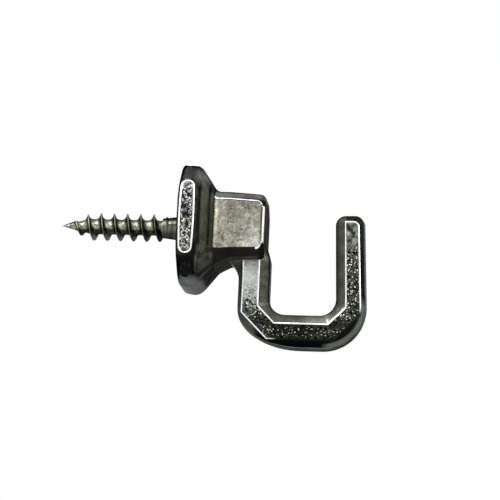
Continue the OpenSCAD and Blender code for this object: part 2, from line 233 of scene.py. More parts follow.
def rosette_and_boss():
    """The rosette and boss without the hook: points, faces and the faces' slots."""
    prof, drops, front = body_profile()
    rings = []
    for (x, h, extra), (drop, fill) in zip(prof, drops):
        cut, soft = cut_and_soft(h)
        rings.append([Vector((x, p.x, p.y - drop - fill * max(0, 1 - (p.y + h) / cut)))
                      for p in outline(h, cut + extra, soft)])
    n = len(rings[0])
    verts = [v for r in rings for v in r]
    faces, slots = [], []
    per_side = SOFT_STEPS + 1
    last = len(rings) - 1
    for j in range(last):
        x = prof[j][0]
        at_front = j >= front + EDGE_STEPS
        for i, f in enumerate(ring_faces(j, n)):
            # Each side's quads are the rounding of its first corner, and then its flat
            side, step = divmod(i, per_side)
            flat = step == SOFT_STEPS
            # The edge material's painted highlight goes on the front's edges, the middles of the upper
            # ends' roundings and the lower ends' roundings near the front
            if x < SATIN_START_X:
                slot = ROSETTE
            elif flat and side == TOP:
                slot = SATIN
            elif flat and side in (NEAR, FAR):
                slot = SATIN if j < front - 1 else EDGE if at_front else BEVEL
            elif not flat and side in UPPER_ENDS:
                slot = EDGE if at_front or step in HIGHLIGHT_STEPS else BEVEL
            elif not flat and side in LOWER_ENDS and j >= front - CORNER_STEPS:
                slot = EDGE
            else:
                slot = BEVEL
            faces.append(f[::-1])
            slots.append(slot)
    faces.append(tuple(range(n)))
    slots.append(BACK)
    faces.append(tuple(last * n + i for i in range(n))[::-1])
    slots.append(FRONT)
    return verts, faces, slots


# ---- Panels round the rosette's rim ---------------------------------------------------------

PANEL_X0, PANEL_X1, PANEL_BULGE = 0.45, 2.42, 0.18
# Half lengths along the rim, and how far up the near and far sides' panels are
SIDE_PANEL_L, CORNER_PANEL_L, SIDE_PANEL_UP = 5.75, 1.85, 0.4
SHIFTS = {NEAR: -SIDE_PANEL_UP, FAR: SIDE_PANEL_UP}
SIDE_PANELS, CORNER_PANELS, TOP_CORNER_PANELS = (TOP, NEAR, FAR), (0, 2, 4, 6), (0, 2)
# The side panels' beads take the edge's painted highlight, and the corner panels' fields take copies of
# the grain darkened as painted shade
# The bead's height as a share of BEAD's, the bead's slot and the field's
SIDE_LOOKS = (1, PANEL_EDGE, PANEL_GRAIN)
TOP_CORNER_LOOKS, LOW_CORNER_LOOKS = (0.25, PANEL_PLATE, PANEL_SHADED_TOP), (0.5, PANEL_PLATE, PANEL_SHADED_LOW)
# The bead across, as [in from the panel's outline, height]
BEAD = [(0.0, -0.06), (0.02, 0.04), (0.06, 0.1), (0.13, 0.13), (0.2, 0.1), (0.25, 0.04), (0.28, -0.01)]
PANEL_STEP, PANEL_SIDE_STEP, PANEL_ARC = 0.07, 0.16, 10
# The field's grain: its height, its two scales, the finer one's share, and how far apart in the
# noise two neighbouring panels are
GRAIN_H, GRAIN_SCALE, FINE_GRAIN_SCALE, FINE_GRAIN, NOISE_APART = 0.07, 3.4, 6.8, 0.6, 7.0
SLOPE_STEP = 0.01


def half_at(x):
    """The rosette's half width at x, between the wall face's rounding and the steep flank."""
    if x <= RIM_T:
        return ROSETTE_HALF
    sine = dsin(SHOULDER_START) + (x - RIM_T) / SHOULDER_R
    return ROSETTE_HALF - SHOULDER_R * (dcos(SHOULDER_START) - sqrt(1 - sine * sine))


def rim_point(side, x, s):
    """The point on the rosette at x, a distance s along its outline from the middle of a side."""
    h = half_at(x)
    cut, soft = cut_and_soft(h)
    v = octagon(h, cut + corner_cut(x))
    a, b = v[side], v[(side + 1) % 8]
    if s < 0:
        a, b, beyond = b, a, v[side - 1]
    else:
        beyond = v[(side + 2) % 8]
    along = (b - a).normalized()
    straight = (b - a).length / 2 - soft
    s = abs(s)
    if s <= straight:
        p = (a + b) / 2 + along * s
    else:
        k = (s - straight) / (2 * soft)
        start, end = b - soft * along, b + soft * (beyond - b).normalized()
        p = mix(mix(start, b, k), mix(b, end, k), k)
    return Vector((x, p.x, p.y - ROSETTE_DROP))


def raised(side, x, s, height):
    """A point a height above the rim's surface, along its normal."""
    e = SLOPE_STEP
    p = rim_point(side, x, s)
    dx = rim_point(side, x + e, s) - rim_point(side, x - e, s)
    ds = rim_point(side, x, s + e) - rim_point(side, x, s - e)
    normal = dx.cross(ds).normalized()
    return p + normal * (height if normal.dot(p - Vector((x, 0, 0))) > 0 else -height)


def capsule(steps):
    """Points round a capsule, anticlockwise, as [x in radii, place along the straight, s in radii]."""
    out = []
    for end, start in ((1, 0), (-1, pi)):
        arc = [start + pi * i / PANEL_ARC for i in range(PANEL_ARC + 1)]
        out += [(cos(a), end, sin(a)) for a in arc]
        out += [(-end, end * (1 - 2 * i / steps), 0) for i in range(1, steps)]
    return out


def capsule_caps(steps, n, first):
    """Faces that close a ring of capsule points across its middle line; first is its first point."""
    faces = [tuple(first + i for i in range(PANEL_ARC + 1))]
    faces.append(tuple(first + PANEL_ARC + steps + i for i in range(PANEL_ARC + 1)))
    for i in range(PANEL_ARC, PANEL_ARC + steps):
        back = PANEL_ARC - i
        faces.append((first + i, first + i + 1, first + (back - 1) % n, first + back % n))
    return faces


def panel(side, half_l, shift, bead_h, bead_slot, grain_slot):
    """One capsule-shaped panel on the rim, shift along it from the side's middle: a raised bead
    round a grainy field, closed behind."""
    mid, r = (PANEL_X0 + PANEL_X1) / 2, (PANEL_X1 - PANEL_X0) / 2
    straight = half_l - r
    steps = ceil(2 * straight / PANEL_SIDE_STEP)
    places = capsule(steps)
    n = len(places)
    bead_w = BEAD[-1][0]
    field_rings = int((r - bead_w) / PANEL_STEP)
    rings = BEAD + [(bead_w + PANEL_STEP * (i + 1), None) for i in range(field_rings)]
    verts = []
    for d, h in rings:
        for ux, along, us in places:
            x, s = mid + (r - d) * ux, straight * along + (r - d) * us
            x += PANEL_BULGE * ux * bead_h * (1 - (s / half_l) ** 2)
            s += shift
            q = Vector((x, s, side * NOISE_APART))
            grain = noise.noise(q * GRAIN_SCALE) + FINE_GRAIN * noise.noise(q * FINE_GRAIN_SCALE)
            rough = GRAIN_H * grain
            verts.append(raised(side, x, s, rough * bead_h if h is None else h * bead_h))
    faces, slots = [], []
    for j in range(len(rings) - 1):
        faces += ring_faces(j, n)
        slots += [bead_slot if j < len(BEAD) - 1 else grain_slot] * n
    for first, slot in (((len(rings) - 1) * n, grain_slot), (0, bead_slot)):
        caps = capsule_caps(steps, n, first)
        faces += caps
        slots += [slot] * len(caps)
    return verts, faces, slots


# ---- J hook ---------------------------------------------------------------------------------

END_RAYS, CUT_RAYS, TIP_STEPS = 6, 12, 10
HALF_T = HOOK_T / 2
THROAT_X = BOSS_END_X + THROAT_STEP
FRONT_X = THROAT_X + THROAT_W
OUTER_X = THROAT_X - ROOT_ARM_W
OUTER_Z = -THROAT_DEPTH - FOOT_W
OUTER_FRONT_X = FRONT_X + FRONT_ARM_W
TOE_X, TOE_Z = OUTER_FRONT_X - OUTER_R, OUTER_Z + OUTER_R
FLAT_TOP = TIP_Z - TIP_BEVEL
THROAT_FOOT, THROAT_SLOPE = 0.3, 0.7


def rays(d, cut):
    """The angles of a corner's points: before its cut, along it and past it."""
    t1 = atan2(d[1] - cut, d[0])
    t2 = atan2(d[1], d[0] - cut)
    return ([t1 * i / END_RAYS for i in range(END_RAYS)]
            + [mix(t1, t2, i / CUT_RAYS) for i in range(CUT_RAYS)]
            + [mix(t2, pi / 2, i / END_RAYS) for i in range(END_RAYS + 1)])


def corner(d, cut, t):
    """A point of a corner on the ray t: round where there is no cut."""
    dx, dz = cos(t), sin(t)
    near = Vector((dx / d[0], dz / d[1]))
    reach = max(near.x, near.y, (dx + dz) / (d[0] + d[1] - cut)) if cut else near.length
    return Vector((dx, dz)) / reach


def rail(c, ds, cut, ts, flare, rise, drop, slope, lean, end):
    """A line from inside the boss down the root arm, round the two corners about c and up the front
    arm to the points of end. Under the boss it curves in by flare, from rise above the boss's
    underside to drop below it. The front arm leans by lean at its top."""
    xa, xb = c[0][0] - ds[0][0], c[1][0] + ds[1][0]
    pts = [Vector((xa - flare, -BOSS_END_HALF + ARM_OVERLAP))]
    for i in range(TIP_STEPS + 1):
        a = 90 * i / TIP_STEPS
        down = (rise + drop) * mix(1 - dcos(a), dsin(a), slope)
        pts.append(Vector((xa - flare * (1 - dsin(a)), -BOSS_END_HALF + rise - down)))
    pts += [Vector(c[0]) - corner(ds[0], cut, t) for t in ts[0]]
    for t in reversed(ts[1]):
        p = corner(ds[1], cut, t)
        pts.append(Vector((c[1][0] + p.x, c[1][1] - p.y)))
    pts += [Vector((xb + lean + x, z)) for x, z in end]
    return pts


def tip_arc(side, r, top):
    """A quarter round at the front arm's tip, as [x from the arm's side, z]."""
    return [(side * r * (1 - dcos(a)), top - r * (1 - dsin(a)))
            for a in (90 * i / TIP_STEPS for i in range(TIP_STEPS + 1))]


def hook_loops():
    """The flat face's outline, the sides' and the crown's, as closed loops in x and z, with the
    sides' depths and the count of points along the throat."""
    in_c = [(x, THROAT_R - THROAT_DEPTH) for x in (THROAT_X + THROAT_R, FRONT_X - THROAT_R)]
    out_c = [(OUTER_X + HEEL_W, OUTER_Z + HEEL_H), (TOE_X, TOE_Z)]
    in_d = [(THROAT_R, THROAT_R)] * 2
    in_edge_d = [(x + INNER_W, z + FLOOR_BEVEL) for x, z in in_d]
    out_d = [(HEEL_W, HEEL_H), (OUTER_R, OUTER_R)]
    side_d = [(x - CROWN, z - CROWN) for x, z in out_d]
    out_edge_d = [(x - OUTER_W, z - FOOT_BEVEL) for x, z in out_d]
    ti, to = [rays(d, INNER_CUT) for d in in_edge_d], [rays(d, OUTER_CUT) for d in out_edge_d]
    lean = -LEAN - TAPER
    inner_side = rail(in_c, in_d, 0, ti, THROAT_STEP + SUNK, THROAT_RISE, THROAT_FOOT, THROAT_SLOPE,
                      -LEAN, tip_arc(1, INNER_W, TIP_Z))
    inner_edge = rail(in_c, in_edge_d, INNER_CUT, ti, 0, THROAT_RISE, THROAT_FOOT, THROAT_SLOPE,
                      -LEAN, tip_arc(1, EDGE_LIP, FLAT_TOP))
    outer_edge = rail(out_c, out_edge_d, OUTER_CUT, to, 0, 0, NOTCH_R, 0, lean,
                      tip_arc(-1, TIP_FACE_R, FLAT_TOP))
    tip = tip_arc(-1, TIP_R, TIP_Z)
    outer_side = rail(out_c, side_d, 0, to, NOTCH_R, 0, NOTCH_R, 0, lean, tip)
    outer_crown = rail(out_c, out_d, 0, to, NOTCH_R, 0, NOTCH_R, 0, lean, tip)
    n = len(inner_side)
    flat = inner_edge + outer_edge[::-1]
    side = inner_side + outer_side[::-1]
    crown = inner_side + outer_crown[::-1]
    depth = [HALF_T - INNER_T] * n + [HALF_T - OUTER_T] * n
    return flat, side, crown, depth, n


# How far the roundings reach, of the flat faces' edges and of the sides'
FLAT_EDGE, SIDE_EDGE = 0.15, 0.3
FLAT_EDGE_STEPS, SIDE_EDGE_STEPS = 4, 5
# Faces in from a flat face that take the edge material's painted highlight, and those that are
# edge or bevel
EDGE_FACES, BEVEL_FACES = 3, 7


def j_hook():
    """The hook: points, faces and the faces' slots. Its rows run from one flat face round a side to
    the other."""
    flat, side, crown, depth, inner_count = hook_loops()
    count = len(flat)
    rows = []
    for i in range(count):
        t = (flat[(i + 1) % count] - flat[i - 1]).normalized()
        inward = Vector((t.y, -t.x))
        if (side[i] - flat[i]).dot(inward) > 0:
            inward = -inward
        a = Vector((flat[i].x, -HALF_T, flat[i].y))
        b = Vector((side[i].x, -depth[i], side[i].y))
        c = Vector((crown[i].x, 0, crown[i].y))
        ab = (b - a).normalized()
        w = Vector((inward.x, 0, inward.y))
        bc = (c - b).normalized()
        row = bezier(a + FLAT_EDGE * w, a, a + FLAT_EDGE * ab, FLAT_EDGE_STEPS)
        row += bezier(b - SIDE_EDGE * ab, b, b + SIDE_EDGE * bc, SIDE_EDGE_STEPS)
        row.append(c)
        row += [Vector((p.x, -p.y, p.z)) for p in reversed(row[:-1])]
        rows.append(row)
    m = len(rows[0])
    verts = [p for row in rows for p in row]
    faces, slots = [], []
    for i in range(count):
        k = (i + 1) % count
        inner = i < inner_count - 1
        for j in range(m - 1):
            faces.append((i * m + j, i * m + j + 1, k * m + j + 1, k * m + j))
            faces_in = min(j, m - 2 - j)
            if faces_in < EDGE_FACES:
                slots.append(EDGE)
            elif inner:
                slots.append(THROAT)
            else:
                slots.append(BEVEL if faces_in < BEVEL_FACES else RIM)
    faces.append(tuple(i * m for i in range(count)))
    slots.append(PITTED)
    faces.append(tuple(i * m + m - 1 for i in range(count))[::-1])
    slots.append(PITTED)
    return verts, faces, slots


# ---- Screw ----------------------------------------------------------------------------------

TURN_STEPS, INSERT_STEPS = 96, 64
# Half of the ridge across, as [pitches from the crest, share of its height]
HALF_RIDGE = [(0.02, 0.98), (0.045, 0.89), (0.08, 0.68), (0.13, 0.42), (0.19, 0.23), (0.26, 0.11),
              (0.34, 0.04), (0.42, 0.01)]
RIDGE = [(-0.5, 0.0)] + [(-at, h) for at, h in reversed(HALF_RIDGE)] + [(0.0, 1.0)] + HALF_RIDGE


def core_r(d):
    """The core's radius at a distance d from the point."""
    return ROOT_D / 2 * min(d / POINT_L, 1) ** CORE_CURVE


def crest_r(d):
    return THREAD_D / 2 * min(d / POINT_L, 1) ** CREST_CURVE


def threaded_core():
    """The screw's thread on its core, as one helical strip of the ridge's section."""
    end_d = SCREW_L - COLLAR_L + RUNOUT_PAST * PITCH
    strips = ceil((end_d - THREAD_START) / PITCH * TURN_STEPS)
    m = len(RIDGE)
    verts = []
    for i in range(strips + TURN_STEPS + 1):
        turn = 2 * pi * i / TURN_STEPS
        for place, height in RIDGE:
            d = THREAD_START + PITCH * (i / TURN_STEPS + place + 0.5)
            fade = max(0, min(1, (d - THREAD_START) / PITCH, (end_d - d) / (RUNOUT_TURNS * PITCH)))
            r = core_r(d) + (crest_r(d) - core_r(d)) * height * fade
            verts.append(Vector((d - SCREW_L, -r * sin(turn), r * cos(turn))))
    tip, end = len(verts), len(verts) + 1
    verts += [Vector((-SCREW_L, 0, 0)), Vector((end_d - SCREW_L + PITCH, 0, 0))]

    def vid(i, j):
        return i * m + j if j < m else (i + TURN_STEPS) * m

    faces = [(vid(i, j), vid(i + 1, j), vid(i + 1, j + 1), vid(i, j + 1))
             for i in range(strips) for j in range(m)]
    faces += [(tip, vid(i + 1, 0), vid(i, 0)) for i in range(TURN_STEPS)]
    faces += [(tip, vid(0, j), vid(0, j + 1)) for j in range(m)]
    faces += [(end, vid(i, 0), vid(i + 1, 0)) for i in range(strips, strips + TURN_STEPS)]
    faces += [(end, vid(strips, j + 1), vid(strips, j)) for j in range(m)]
    return verts, faces


def turned(profile, steps):
    """A solid of revolution about X from [radius, x] points, the first and last on the axis."""
    verts = [Vector((profile[0][1], 0, 0))]
    for r, x in profile[1:-1]:
        for i in range(steps):
            a = 2 * pi * i / steps
            verts.append(Vector((x, r * cos(a), r * sin(a))))
    verts.append(Vector((profile[-1][1], 0, 0)))
    last = len(verts) - 1
    rings = len(profile) - 2
    faces = [(0, 1 + (i + 1) % steps, 1 + i) for i in range(steps)]
    for j in range(rings - 1):
        a, b = 1 + j * steps, 1 + (j + 1) * steps
        faces += [(a + i, a + (i + 1) % steps, b + (i + 1) % steps, b + i) for i in range(steps)]
    a = 1 + (rings - 1) * steps
    faces += [(last, a + i, a + (i + 1) % steps) for i in range(steps)]
    return verts, faces


# The collar, the buried shank and its head
INSERT = [(0, -COLLAR_L), (NECK_D / 2, -COLLAR_L), (COLLAR_D / 2, 0), (SHANK_D / 2, COLLAR_SUNK),
          (SHANK_D / 2, SHANK_L - HEAD_T), (HEAD_D / 2, SHANK_L - HEAD_T), (HEAD_D / 2, SHANK_L),
          (0, SHANK_L)]


# ---- Materials ------------------------------------------------------------------------------

# Tints, as the shares of red and blue beside green
NEUTRAL, COOL, GREENISH = (1.0, 0.98), (0.95, 1.04), (0.87, 0.87)
OLIVE, WARM, PALE, SAND = (0.93, 0.74), (1.06, 0.8), (0.97, 0.88), (1.02, 0.8)


def shade(level, tint=NEUTRAL):
    """A colour of a linear level."""
    return (level * tint[0], level, level * tint[1])


class Nodes:
    """A small writer for node materials, with positions in millimetres."""

    def __init__(self, name):
        self.mat = bpy.data.materials.new(name)
        self.mat.use_nodes = True
        self.tree = self.mat.node_tree
        self.tree.nodes.clear()
        out = self.add("ShaderNodeOutputMaterial")
        self.bsdf = self.add("ShaderNodeBsdfPrincipled")
        self.link(self.bsdf.outputs[0], out.inputs["Surface"])
        coord = self.add("ShaderNodeTexCoord")
        scale = self.add("ShaderNodeVectorMath", operation="SCALE")
        scale.inputs["Scale"].default_value = 1 / MM
        self.link(coord.outputs["Object"], scale.inputs[0])
        self.pos = scale.outputs[0]

    def add(self, kind, **props):
        node = self.tree.nodes.new(kind)
        for k, v in props.items():
            setattr(node, k, v)
        return node

    def link(self, a, b):
        self.tree.links.new(a, b)

    def put(self, socket, value):
        if isinstance(value, bpy.types.NodeSocket):
            self.link(value, socket)
        else:
            socket.default_value = value

    def noise(self, scale, detail, rough, pos=None):
        n = self.add("ShaderNodeTexNoise")
        self.link(pos or self.pos, n.inputs["Vector"])
        n.inputs["Scale"].default_value = scale
        n.inputs["Detail"].default_value = detail
        n.inputs["Roughness"].default_value = rough
        return n.outputs["Fac"]

    def cells(self, scale):
        """The distance to the nearest of a scatter of points."""
        n = self.add("ShaderNodeTexVoronoi", feature="F1")
        self.link(self.pos, n.inputs["Vector"])
        n.inputs["Scale"].default_value = scale
        return n.outputs["Distance"]

    def math(self, op, *values):
        n = self.add("ShaderNodeMath", operation=op)
        for socket, value in zip(n.inputs, values):
            self.put(socket, value)
        return n.outputs[0]

    def times(self, a, b):
        return self.math("MULTIPLY", a, b)

    def off(self, value, middle):
        """How far value is from middle."""
        return self.math("ABSOLUTE", self.math("SUBTRACT", value, middle))

    def hypot(self, a, b):
        return self.math("SQRT", self.math("ADD", self.times(a, a), self.times(b, b)))

    def share(self, a, b, part):
        """A mixture of a and b, of which part is b."""
        return self.math("ADD", self.times(a, 1 - part), self.times(b, part))

    def remap(self, value, lo, hi, to_lo=0.0, to_hi=1.0, kind="LINEAR"):
        n = self.add("ShaderNodeMapRange", interpolation_type=kind)
        sockets = ("Value", "From Min", "From Max", "To Min", "To Max")
        for name, v in zip(sockets, (value, lo, hi, to_lo, to_hi)):
            self.put(n.inputs[name], v)
        return n.outputs[0]

    def ease(self, value, lo, hi, to_lo=0.0, to_hi=1.0):
        return self.remap(value, lo, hi, to_lo, to_hi, "SMOOTHSTEP")

    def colour(self, fac, *stops):
        """A ramp over fac. Each stop is its place, its level and its tint if it isn't neutral."""
        n = self.add("ShaderNodeValToRGB")
        self.link(fac, n.inputs[0])
        ramp = n.color_ramp
        while len(ramp.elements) < len(stops):
            ramp.elements.new(0.5)
        for e, (at, *look) in zip(ramp.elements, stops):
            e.position = at
            e.color = (*shade(*look), 1)
        return n.outputs[0]

    def blend(self, fac, a, b, kind="MIX"):
        n = self.add("ShaderNodeMix", data_type="RGBA", blend_type=kind)
        self.put(n.inputs["Factor"], fac)
        for socket, v in ((n.inputs[6], a), (n.inputs[7], b)):
            self.put(socket, (*v, 1) if isinstance(v, tuple) else v)
        return n.outputs[2]

    def scaled(self, colour, value):
        """The colour times a number."""
        return self.blend(1.0, colour, self.combine(value), "MULTIPLY")

    def xyz(self):
        n = self.add("ShaderNodeSeparateXYZ")
        self.link(self.pos, n.inputs[0])
        return n.outputs

    def stretched(self, *scale):
        """The position with its three parts scaled."""
        n = self.add("ShaderNodeVectorMath", operation="MULTIPLY")
        self.link(self.pos, n.inputs[0])
        n.inputs[1].default_value = scale
        return n.outputs[0]

    def combine(self, value):
        n = self.add("ShaderNodeCombineColor")
        for socket in n.inputs[:3]:
            self.link(value, socket)
        return n.outputs[0]

    def bump(self, height, strength, distance):
        n = self.add("ShaderNodeBump")
        n.inputs["Strength"].default_value = strength
        n.inputs["Distance"].default_value = distance * MM
        self.link(height, n.inputs["Height"])
        self.link(n.outputs[0], self.bsdf.inputs["Normal"])

    def finish(self, colour, roughness, metallic=1.0, tint=0.35):
        """The material. Its tint is the level, or the colour, that it takes at a grazing angle."""
        self.put(self.bsdf.inputs["Base Color"], colour)
        self.put(self.bsdf.inputs["Roughness"], roughness)
        self.bsdf.inputs["Metallic"].default_value = metallic
        self.bsdf.inputs["Specular IOR Level"].default_value = 0.0
        edge = (tint, tint, tint, 1) if isinstance(tint, float) else tint
        self.put(self.bsdf.inputs["Specular Tint"], edge)
        return self.mat


def waves(n):
    """The faint waves and smears of a buffed and plated casting, about 1, and their fine part."""
    wave = n.noise(0.55, 2.0, 0.5)
    fine = n.noise(4.0, 4.0, 0.6)
    n.bump(n.math("ADD", wave, n.times(fine, 0.06)), 0.6, 0.12)
    return n.remap(n.share(wave, fine, 0.4), 0.3, 0.7, 0.6, 1.4), fine


def shiny(name, tone, metallic=1.0):
    """Dark polished nickel whose colour and edge tint at a place come from tone(n)."""
    n = Nodes(name)
    level, fine = waves(n)
    colour, tint = tone(n)
    return n.finish(n.scaled(colour, level), n.remap(fine, 0.3, 0.7, 0.16, 0.3), metallic, tint)


# The rosette's profile for its painted reflections, and where they change: the painted highlight
# low on the flank, the top, the places below the panel and the underside
PROFILE_X = (0.0, 10.0)
PATCH_Z, PATCH_HALF, PATCH_X = -4.7, 1.2, (2.9, 3.6)
TOP_Z, BELOW_PANEL_Z, BELOW_Z, UNDERSIDE_Z = (4.4, 7.2), (-6.2, -5.2), (-6.0, -5.1), (-8.9, -7.9)


def rosette_painted_reflections():
    """Painted reflections and shade: black round the shoulder and in the cove, olive on the steep
    flank, paler at the top and underneath."""

    def tone(n):
        x, _, z = n.xyz()
        place = n.remap(x, *PROFILE_X)
        side = n.colour(place, (0.0, 0.03), (0.2, 0.015), (0.26, 0.008), (0.325, 0.012, OLIVE),
                        (0.35, 0.105, OLIVE), (0.42, 0.085, OLIVE), (0.45, 0.015), (0.475, 0.11, OLIVE),
                        (0.495, 0.09, OLIVE), (0.51, 0.008), (0.6, 0.03))
        above = n.colour(place, (0.0, 0.02), (0.12, 0.09), (0.2, 0.04), (0.27, 0.17), (0.35, 0.29),
                         (0.42, 0.26), (0.5, 0.1), (0.6, 0.07))
        below = n.colour(place, (0.0, 0.004), (0.27, 0.005), (0.34, 0.15), (0.6, 0.13))
        # A painted highlight low on the flank, and painted shade just below the panel
        patch = n.times(n.ease(n.off(z, PATCH_Z), 0.0, PATCH_HALF, 0.7, 0.0), n.remap(x, *PATCH_X))
        side = n.blend(patch, side, shade(0.24, OLIVE))
        side = n.blend(n.ease(z, *BELOW_PANEL_Z, 0.6, 0.0), side, shade(0.02, COOL))
        # Painted reflections paler towards the top, and below the rosette down to its underside
        colour = n.blend(n.ease(z, *TOP_Z), side, above)
        colour = n.blend(n.ease(z, *BELOW_Z, 1.0, 0.0), colour, below)
        under = n.ease(z, *UNDERSIDE_Z, 1.0, 0.0)
        return n.blend(under, colour, shade(0.13, COOL)), n.combine(n.remap(under, 0.0, 1.0, 0.15, 0.5))

    return shiny("nickel_rosette", tone)


# The heights over which the bevels' painted shade and reflections change from the foot to the
# boss's top, the boss's underside, and the painted highlight round the toe
BEVEL_Z = (-18.0, 6.0)
UNDER_BOSS_Y, UNDER_BOSS_Z, UNDER_BOSS_X = (3.7, 3.95), (-4.8, -4.4), (11.0, 12.0)
TOE_BAND, TOE_FADE = (0.9, 0.5), 1.5


def bevel_painted_reflections(name, metallic):
    """The boss's chamfers and the hook's outer bevels, in painted shade and reflections: nearly
    black low down, grey at the top of the boss, on its underside and round the toe."""

    def tone(n):
        x, y, z = n.xyz()
        colour = n.colour(n.remap(z, *BEVEL_Z), (0.0, 0.002), (0.4, 0.012), (0.5, 0.01, WARM),
                          (0.62, 0.012, WARM), (0.86, 0.022), (0.9, 0.01), (0.92, 0.13), (0.94, 0.15),
                          (0.955, 0.03))
        under = n.times(n.remap(n.math("ABSOLUTE", y), *UNDER_BOSS_Y, 1.0, 0.0),
                        n.remap(z, *UNDER_BOSS_Z, 1.0, 0.0))
        under = n.times(under, n.remap(x, *UNDER_BOSS_X, 1.0, 0.0))
        colour = n.blend(under, colour, shade(0.06))
        r = n.hypot(n.math("SUBTRACT", x, TOE_X), n.math("SUBTRACT", z, TOE_Z))
        toe = n.times(n.ease(r, *(OUTER_R - w for w in TOE_BAND)), n.remap(x, TOE_X, TOE_X + TOE_FADE))
        toe = n.times(toe, n.remap(z, TOE_Z, TOE_Z + TOE_FADE, 1.0, 0.0))
        return n.blend(toe, colour, shade(0.11, GREENISH)), 0.15

    return shiny(name, tone, metallic)


# Where the throat's painted reflections change, on its floor and its sides, and the painted shade round
# the strips' middles
THROAT_FLOOR_Z, THROAT_SIDES_X, THROAT_DARK_Y = (-14.6, -10.0), (18.0, 20.0), (1.2, 2.1)


def throat_painted_reflections():
    """The throat's strips, in painted reflections and shade: grey near the flat faces, palest on the
    floor, and black round their middles."""

    def tone(n):
        x, y, z = n.xyz()
        base = n.colour(n.remap(z, *THROAT_FLOOR_Z), (0.0, 0.19), (0.3, 0.14, OLIVE), (0.75, 0.06, OLIVE),
                        (1.0, 0.06, OLIVE))
        base = n.scaled(base, n.remap(x, *THROAT_SIDES_X, 0.7, 1.4))
        return n.blend(n.ease(n.math("ABSOLUTE", y), *THROAT_DARK_Y), shade(0.008), base), 0.15

    return shiny("nickel_throat", tone, 0.7)


PARTING_LINE_Y = (0.15, 0.8)


def rim_finish():
    """The hook's outer sides: grey, and black along the parting line."""

    def tone(n):
        off = n.ease(n.math("ABSOLUTE", n.xyz()[1]), *PARTING_LINE_Y)
        return n.blend(off, shade(0.015), shade(0.15, GREENISH)), 0.25

    return shiny("nickel_rim", tone, 0.8)


# Where the edges take painted shade in place of their painted highlight: along the foot, and
# round the toe, where x - z is largest
SHADED_FOOT_Z, SHADED_FOOT_X, SHADED_TOE = (-15.9, -15.4), (13.2, 14.8), (38.4, 39.6)


def painted_edge_highlight():
    """Edges painted pale as a painted highlight, with painted shade along the foot and round the toe."""
    n = Nodes("nickel_edge")
    x, _, z = n.xyz()
    fine = n.noise(3.0, 3.0, 0.6)
    foot = n.times(n.remap(z, *SHADED_FOOT_Z, 1.0, 0.0), n.remap(x, *SHADED_FOOT_X))
    # Painted shade on the edges that face down, along the foot and round the toe
    dull = n.math("MAXIMUM", foot, n.remap(n.math("SUBTRACT", x, z), *SHADED_TOE))
    colour = n.blend(dull, n.colour(fine, (0.3, 0.7), (0.6, 0.95)), shade(0.012))
    n.bump(fine, 0.2, 0.03)
    return n.finish(colour, n.remap(fine, 0.3, 0.7, 0.22, 0.38), tint=1.0)


# Parts of the hook's flats: the root arm and the front arm, whose painted reflection is paler
# higher up, the front arm's smooth tip and the foot
ROOT_ARM_X, ROOT_ARM_Z, UNDER_BOSS_FADE_Z = (12.0, 14.8), (-14.2, -9.2), (-7.6, -5.4)
FRONT_ARM_X, FRONT_ARM_Z, SMOOTH_TIP_Z = (22.5, 24.5), (-13.0, 1.5), (-3.4, -1.9)
SMOOTH_ROOT_X, SMOOTH_ROOT_Z = (13.0, 14.5), (-11.0, -8.5)
FOOT_MIDDLE_Z, FOOT_GLINTS, FOOT_TOP_Z, GLINTS_Z = -15.5, (0.4, 1.0), (-14.0, -13.4), (-14.2, -12.5)


